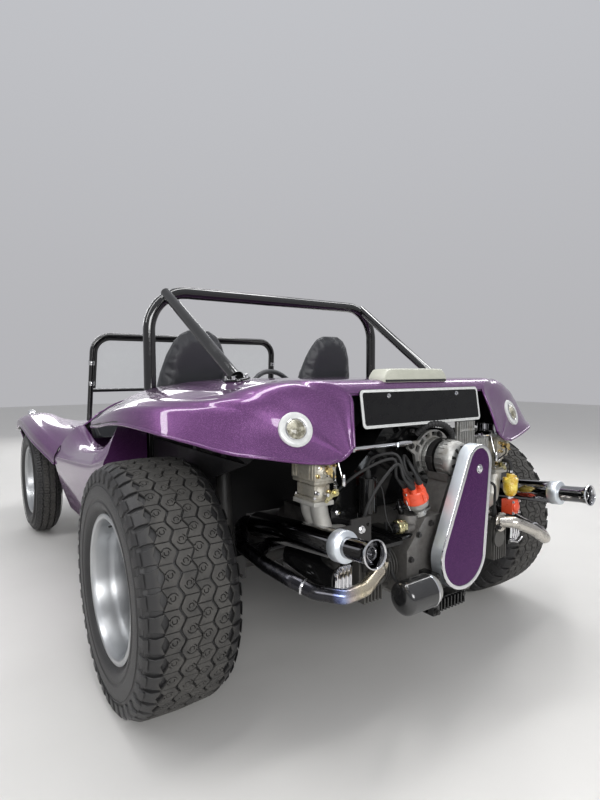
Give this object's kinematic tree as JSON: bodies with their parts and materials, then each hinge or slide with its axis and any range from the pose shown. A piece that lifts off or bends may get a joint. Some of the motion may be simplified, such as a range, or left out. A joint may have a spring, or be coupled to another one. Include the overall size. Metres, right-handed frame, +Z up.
{
  "type": "dune buggy",
  "caption": "Open two-seat glass-fibre dune buggy on a shortened pan chassis: wheels spin, steering turns the front pair through drop arm and tie rods, flat-four engine open at the back.",
  "frame": {"origin": "on the ground below the middle of the car's bounding box", "axes": "+Y forward along the car, +X to its right side, +Z up"},
  "size_m": [1.7, 3.19, 1.2889],
  "materials": {
    "purple_metalflake": "glass-fibre in gloss purple metalflake",
    "black_paint": "gloss black",
    "black_moulding": "satin black glass-fibre",
    "cast_aluminium": "as cast",
    "polished_aluminium": "polished",
    "chrome": "bright",
    "steel": "bare",
    "tyre": "matt",
    "rubber": "matt black",
    "red_plastic": "moulded orange red",
    "zinc_plate": "yellow zinc plate",
    "amber_plastic": "clear amber",
    "vinyl": "grained black vinyl",
    "glass": "clear",
    "lamp": "moulded lamp with bright ring",
    "cream_plastic": "moulded cream",
    "cast_iron": "machined"
  },
  "bodies": {
    "root": {"chassis": "black_paint", "gearbox": "cast_aluminium", "rear_suspension": "black_paint", "engine_case": "cast_aluminium", "cylinders": "cast_iron", "rocker_covers": "polished_aluminium", "fan_shroud": "black_paint", "alternator": "cast_aluminium", "belt_guard": "polished_aluminium", "belt_guard_face": "purple_metalflake", "oil_filler": "cast_aluminium", "oil_sender": "zinc_plate", "distributor": "cast_aluminium", "distributor_cap": "red_plastic", "ignition_leads": "rubber", "oil_filter": "black_paint", "intake_manifolds": "cast_aluminium", "carburettors": "cast_aluminium", "fuel_filter": "amber_plastic", "fuel_regulator": "red_plastic", "throttle_linkage": "steel", "exhaust_right": "chrome", "exhaust_left": "chrome", "rear_cowl": "purple_metalflake", "rear_tub": "black_moulding", "side_body_right": "purple_metalflake", "side_body_left": "purple_metalflake", "front_clip": "purple_metalflake", "footwell": "purple_metalflake", "dashboard": "vinyl", "windscreen_frame": "black_paint", "windscreen_glass": "glass", "roll_bar": "black_paint", "seat_right": "vinyl", "seat_left": "vinyl", "steering_column": "black_paint", "controls": "steel", "rear_lamps": "lamp", "headlamps": "lamp", "deck_lamp": "cream_plastic", "number_plate": "black_paint", "front_beam": "black_paint", "trailing_arms": "black_paint"},
    "steering_wheel": {"steering_wheel": "black_moulding"},
    "drop_arm": {"drop_arm": "steel"},
    "knuckle_right": {"knuckle_right": "cast_iron"},
    "tie_rod_right": {"tie_rod_right": "steel"},
    "front_wheel_right": {"front_tyre_right": "tyre", "front_wheel_right": "polished_aluminium"},
    "rear_wheel_right": {"rear_tyre_right": "tyre", "rear_wheel_right": "polished_aluminium"},
    "knuckle_left": {"knuckle_left": "cast_iron"},
    "tie_rod_left": {"tie_rod_left": "steel"},
    "front_wheel_left": {"front_tyre_left": "tyre", "front_wheel_left": "polished_aluminium"},
    "rear_wheel_left": {"rear_tyre_left": "tyre", "rear_wheel_left": "polished_aluminium"}
  },
  "joints": [
    {"name": "rear_wheel_right_spin", "type": "hinge", "parent": "root", "child": "rear_wheel_right", "pos_m": [0.716, -0.91, 0.355], "axis": [1, 0, 0], "continuous": true},
    {"name": "rear_wheel_left_spin", "type": "hinge", "parent": "root", "child": "rear_wheel_left", "pos_m": [-0.716, -0.91, 0.355], "axis": [1, 0, 0], "continuous": true},
    {"name": "steering_wheel_turn", "type": "hinge", "parent": "root", "child": "steering_wheel", "pos_m": [0.338, 0.05, 0.8], "axis": [-0.1434, 0.942, -0.3033], "range_deg": [-470, 470]},
    {"name": "drop_arm_swing", "type": "hinge", "parent": "root", "child": "drop_arm", "pos_m": [0.15, 1.12, 0.44], "axis": [0, 0, -1], "range_deg": [-33.1, 33.1]},
    {"name": "knuckle_right_steer", "type": "hinge", "parent": "root", "child": "knuckle_right", "pos_m": [0.545, 1.12, 0.313], "axis": [0, 0, -1], "range_deg": [-33.1, 33.1]},
    {"name": "tie_rod_right_swing", "type": "hinge", "parent": "drop_arm", "child": "tie_rod_right", "pos_m": [0.15, 1, 0.445], "axis": [0, 0, -1], "range_deg": [-33.1, 33.1]},
    {"name": "front_wheel_right_spin", "type": "hinge", "parent": "knuckle_right", "child": "front_wheel_right", "pos_m": [0.692, 1.12, 0.313], "axis": [1, 0, 0], "continuous": true},
    {"name": "knuckle_left_steer", "type": "hinge", "parent": "root", "child": "knuckle_left", "pos_m": [-0.545, 1.12, 0.313], "axis": [0, 0, -1], "range_deg": [-33.1, 33.1]},
    {"name": "tie_rod_left_swing", "type": "hinge", "parent": "drop_arm", "child": "tie_rod_left", "pos_m": [0.15, 1, 0.445], "axis": [0, 0, -1], "range_deg": [-33.1, 33.1]},
    {"name": "front_wheel_left_spin", "type": "hinge", "parent": "knuckle_left", "child": "front_wheel_left", "pos_m": [-0.692, 1.12, 0.313], "axis": [1, 0, 0], "continuous": true}
  ],
  "couplings": [
    {"joint": "drop_arm_swing", "follows": "steering_wheel_turn", "ratio": 0.070213},
    {"joint": "knuckle_right_steer", "follows": "steering_wheel_turn", "ratio": 0.070213},
    {"joint": "tie_rod_right_swing", "follows": "steering_wheel_turn", "ratio": -0.070213},
    {"joint": "knuckle_left_steer", "follows": "steering_wheel_turn", "ratio": 0.070213},
    {"joint": "tie_rod_left_swing", "follows": "steering_wheel_turn", "ratio": -0.070213}
  ]
}
